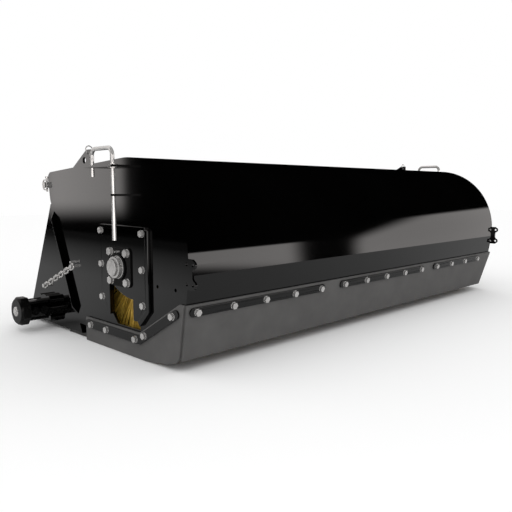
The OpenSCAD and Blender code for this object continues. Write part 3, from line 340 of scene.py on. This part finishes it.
# %% [markdown]
# A hold chain runs from a peg in the hood's fork to a peg on the bucket. Both pegs are read
# from the boxes of their CAD nodes, and the links share the run between them evenly. Every
# second link is turned a quarter about the chain's own line, as real links are.

# %% Hold chains
LINKS, END_SEAT = 11, 0.0065
PEG_R, PEG_HEAD, LINK_SEAT = 0.004, 0.003, 0.005
peg_low, peg_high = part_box("chain_pegs")
fork_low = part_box("chain_forks")[0]
BUCKET_PEG = Vector((0, (peg_low.y + peg_high.y) / 2, (peg_low.z + peg_high.z) / 2))
HOOD_PEG = Vector((0, fork_low.y + PEG_R + PEG_HEAD, fork_low.z + PEG_R + PEG_HEAD))
CHAIN_X = peg_high.x - PEG_HEAD - LINK_SEAT


def hold_chain(bm, side):
    """One chain on the left (-1) or right (1) end."""
    start = Vector((side * CHAIN_X, HOOD_PEG.y, HOOD_PEG.z))
    run = BUCKET_PEG - HOOD_PEG
    pitch = (run.length - 2 * END_SEAT) / (LINKS - 1)
    along = run.normalized()
    for i in range(LINKS):
        flat = X if i % 2 == 0 else along.cross(X)
        across = flat.cross(along)
        middle = start + along * (END_SEAT + i * pitch)
        turn = Matrix((along, across, flat)).transposed().to_4x4()
        add_link(bm, Matrix.Translation(middle) @ turn)


bm = bmesh.new()
for side in (-1, 1):
    hold_chain(bm, side)
new_piece("wire_chains", bm, "bright_steel", "hood", "hold_chains", smooth=True)

# %% [markdown]
# The camera stands a little lower than the hood's top, to the left of the front, and tips
# down slightly. Its place and lens were fitted to the photo, so they are plain numbers here.

# %% Camera
EYE = Vector((-1.8005, -1.712, 0.476))
LOOK = Vector((0.7024, 0.7024, -0.1149))
LENS_MM, SENSOR_MM = 40.15, 36.0
lens = bpy.data.cameras.new("photo_camera")
lens.lens = LENS_MM
lens.sensor_width = SENSOR_MM
lens.sensor_fit = "HORIZONTAL"
camera = bpy.data.objects.new("photo_camera", lens)
bpy.context.scene.collection.objects.link(camera)
camera.matrix_world = Matrix.Translation(EYE) @ LOOK.to_track_quat("-Z", "Y").to_matrix().to_4x4()
bpy.context.scene.camera = camera
print("camera at", tuple(round(v, 3) for v in EYE))

# %% [markdown]
# The floor is one plain sheet under the machine. Its front edge lies just past the camera,
# because the glossy hood mirrors the floor too, and beyond that edge mirrors the panels
# that are drawn further down.

# %% Floor
FLOOR_LEFT, FLOOR_RIGHT, FLOOR_FRONT, FLOOR_REAR = -3.2, 12.0, -1.75, 9.0
floor_mesh = bpy.data.meshes.new("floor")
bm = bmesh.new()
bmesh.ops.create_grid(bm, x_segments=1, y_segments=1, size=0.5)
bmesh.ops.scale(bm, verts=bm.verts, vec=(FLOOR_RIGHT - FLOOR_LEFT, FLOOR_REAR - FLOOR_FRONT, 1))
bmesh.ops.translate(bm, verts=bm.verts,
                    vec=((FLOOR_RIGHT + FLOOR_LEFT) / 2, (FLOOR_REAR + FLOOR_FRONT) / 2, 0))
bm.to_mesh(floor_mesh)
bm.free()
floor = bpy.data.objects.new("floor", floor_mesh)
bpy.context.scene.collection.objects.link(floor)
print("floor:", FLOOR_RIGHT - FLOOR_LEFT, "by", FLOOR_REAR - FLOOR_FRONT)

# %% [markdown]
# The camera sees the floor almost white, so it meets the white world nearly without a line
# and still shows the shadow. All other rays see it darker, and darker still far to the left,
# so that the side plate darkens as in the photo. A Light Path node tells the rays apart.

# %% The floor's colour, with painted shade for all rays but the camera's
# FLOOR_MIRRORED and its ramp down to FLOOR_DIM far to the left are painted shade. Other rays see the floor
# darkened, as if it lay in shadow near the machine and grew darker further off.
FLOOR_SEEN, FLOOR_MIRRORED, FLOOR_DIM = 0.98, 0.5, 0.04
DIM_START_X, DIM_END_X = -1.6, -2.8
white = bpy.data.materials.new("white_floor")
white.use_nodes = True
tree = white.node_tree
shader = tree.nodes["Principled BSDF"]
shader.inputs["Roughness"].default_value = 1.0
shader.inputs["Specular IOR Level"].default_value = 0.0
rays = tree.nodes.new("ShaderNodeLightPath")
shade = tree.nodes.new("ShaderNodeMapRange")
shade.inputs["To Max"].default_value = FLOOR_SEEN
place = tree.nodes.new("ShaderNodeTexCoord")
split = tree.nodes.new("ShaderNodeSeparateXYZ")
painted_floor_shade = tree.nodes.new("ShaderNodeMapRange")
painted_floor_shade.inputs["From Min"].default_value = DIM_END_X
painted_floor_shade.inputs["From Max"].default_value = DIM_START_X
painted_floor_shade.inputs["To Min"].default_value = FLOOR_DIM
painted_floor_shade.inputs["To Max"].default_value = FLOOR_MIRRORED
tree.links.new(place.outputs["Object"], split.inputs["Vector"])
tree.links.new(split.outputs["X"], painted_floor_shade.inputs["Value"])
tree.links.new(painted_floor_shade.outputs["Result"], shade.inputs["To Min"])
tree.links.new(rays.outputs["Is Camera Ray"], shade.inputs["Value"])
tree.links.new(shade.outputs["Result"], shader.inputs["Base Color"])
floor_mesh.materials.append(white)
print("floor nodes:", len(tree.nodes))

# %% [markdown]
# Black paint shows little but its reflections, so what it mirrors is drawn with care. The
# drawing is a sum and product of smooth ramps over the direction of the ray. A picture of
# a studio would do it too, but ramps need no file. Small helpers make the nodes, so that
# the drawing below reads like a formula.

# %% Helpers for the world
world = bpy.data.worlds.new("studio")
bpy.context.scene.world = world
world.use_nodes = True
tree = world.node_tree


def ramp(value, start, end, low=0.0, high=1.0):
    """A smooth step from low to high while a socket's value runs from start to end."""
    node = tree.nodes.new("ShaderNodeMapRange")
    node.interpolation_type = "SMOOTHSTEP"
    for socket, number in zip(("From Min", "From Max", "To Min", "To Max"), (start, end, low, high)):
        node.inputs[socket].default_value = number
    tree.links.new(value, node.inputs["Value"])
    return node.outputs["Result"]


def sums(operation, *values):
    """A Math node over sockets or numbers."""
    node = tree.nodes.new("ShaderNodeMath")
    node.operation = operation
    for i, value in enumerate(values):
        if isinstance(value, float):
            node.inputs[i].default_value = value
        else:
            tree.links.new(value, node.inputs[i])
    return node.outputs["Value"]


def product(first, *others):
    """All the sockets multiplied together."""
    for other in others:
        first = sums("MULTIPLY", first, other)
    return first


def background(colour, strength=None):
    """A Background node of one colour, with its strength from a socket where one is given."""
    node = tree.nodes.new("ShaderNodeBackground")
    node.inputs["Color"].default_value = (*colour, 1)
    if strength is not None:
        tree.links.new(strength, node.inputs["Strength"])
    return node.outputs["Background"]


def choose(ray, other, chosen):
    """One background for rays of a kind, and another for the rest."""
    node = tree.nodes.new("ShaderNodeMixShader")
    for i, socket in enumerate((ray, other, chosen)):
        tree.links.new(socket, node.inputs[i])
    return node.outputs["Shader"]


rays = tree.nodes.new("ShaderNodeLightPath").outputs
place = tree.nodes.new("ShaderNodeTexCoord")
split = tree.nodes.new("ShaderNodeSeparateXYZ")
tree.links.new(place.outputs["Generated"], split.inputs["Vector"])
way_x, way_y, way_z = split.outputs["X"], split.outputs["Y"], split.outputs["Z"]
sideways = sums("ABSOLUTE", way_x)
print("world helpers ready")

# %% [markdown]
# The bright areas on the hood in the photo are drawn as two panels in front: a low one ahead
# and a taller one to the side with a slanted near edge, and a dark gap between them. Each pair
# of numbers is where a ramp starts and ends. In front, nothing above the panels is lit, so
# the upper part of the hood stays black.

# %% Panels in front
LOW_TOP, LOW_END = (0.057, 0.033), (0.764, 0.74)
TALL_TOP, TALL_START = (0.265, 0.225), (0.806, 0.826)
SLANT_SLOPE, SLANT_SIDEWAYS, SLANT_Z = 4.3, 0.82, 0.03
SLANT_OUT, SLANT_IN = 0.08, 0.1
PANEL_FOOT, PANEL_AHEAD = (-0.145, -0.125), (0.0, -0.2)
PANEL_DIM, PANEL_BRIGHT = (0.74, 0.92), (2.55, 1.3)
low_panel = product(ramp(way_z, *LOW_TOP), ramp(sideways, *LOW_END))
slant = sums("MULTIPLY_ADD", sideways, -SLANT_SLOPE, way_z)
slant_at = SLANT_Z - SLANT_SLOPE * SLANT_SIDEWAYS
tall_panel = product(ramp(way_z, *TALL_TOP), ramp(sideways, *TALL_START),
                     ramp(slant, slant_at + SLANT_OUT, slant_at - SLANT_IN))
panels = product(sums("ADD", low_panel, tall_panel), ramp(way_z, *PANEL_FOOT),
                 ramp(way_y, *PANEL_AHEAD), ramp(sideways, *PANEL_DIM, *PANEL_BRIGHT))
print("panel brightness:", PANEL_BRIGHT)

# %% [markdown]
# Two more lights stand behind the machine. A small panel behind the left end is mirrored in
# the side plate, whose upper part is grey in the photo. It is kept small so that other faces
# seldom mirror it. A dim glow higher up lightens the rear faces that mirror it, and the
# others stay black.

# %% Lights behind
SIDE_FOOT, SIDE_TOP, SIDE_BEHIND = (-0.055, -0.015), (0.078, 0.062), (0.7, 0.8)
SIDE_NEAR, SIDE_FAR, SIDE_BRIGHT = (-0.536, -0.524), (-0.41, -0.43), 1.9
REAR_BEHIND, REAR_LEFT, REAR_ABOVE, REAR_GLOW = (0.1, 0.4), (0.52, 0.4), (0.06, 0.2), 0.6
side_panel = product(ramp(way_z, *SIDE_FOOT), ramp(way_z, *SIDE_TOP), ramp(way_y, *SIDE_BEHIND),
                     ramp(way_x, *SIDE_FAR), ramp(way_x, *SIDE_NEAR, 0.0, SIDE_BRIGHT))
rear = product(ramp(way_y, *REAR_BEHIND), ramp(way_x, *REAR_LEFT), ramp(way_z, *REAR_ABOVE, 0.0, REAR_GLOW))
print("side panel:", SIDE_BRIGHT, "rear glow:", REAR_GLOW)

# %% [markdown]
# Three worlds are joined by the kind of ray. The camera sees white. Metal and paint mirror
# the drawing above. All other rays find an even light of strength 1, which shows each
# colour nearly as it is written.

# %% World
EVEN_LIGHT = 1.0
PANEL_TINT = (1.0, 0.96, 0.94)
mirrored = background(PANEL_TINT, sums("ADD", sums("ADD", panels, rear), side_panel))
mirror_ray = sums("MAXIMUM", rays["Is Glossy Ray"], rays["Is Transmission Ray"])
even = background((EVEN_LIGHT, EVEN_LIGHT, EVEN_LIGHT))
seen = choose(rays["Is Camera Ray"], choose(mirror_ray, even, mirrored), background((1, 1, 1)))
tree.links.new(seen, tree.nodes["World Output"].inputs["Surface"])
tree.nodes.remove(tree.nodes["Background"])
print("world nodes:", len(tree.nodes))

# %% [markdown]
# One large soft box hangs in front on the left. It is weak beside the even light, and only
# gives round pieces a lighter and a darker side. The paint doesn't mirror it.

# %% Lamp
BOX_PLACE, BOX_AIM = Vector((-3.2, -3.4, 3.2)), Vector((0.0, 0.0, 0.3))
BOX_WIDE, BOX_HIGH, BOX_BRIGHT = 2.4, 2.4, 1.2
lamp = bpy.data.lights.new("front_box", "AREA")
lamp.shape = "RECTANGLE"
lamp.size, lamp.size_y = BOX_WIDE, BOX_HIGH
lamp.energy = BOX_BRIGHT * math.pi * BOX_WIDE * BOX_HIGH
holder = bpy.data.objects.new("front_box", lamp)
holder.visible_camera = False
holder.visible_glossy = False
bpy.context.scene.collection.objects.link(holder)
aim = (BOX_AIM - BOX_PLACE).to_track_quat("-Z", "Y")
holder.matrix_world = Matrix.Translation(BOX_PLACE) @ aim.to_matrix().to_4x4()
bpy.context.scene.view_settings.view_transform = "Standard"
print("lamp energy:", round(lamp.energy, 2))
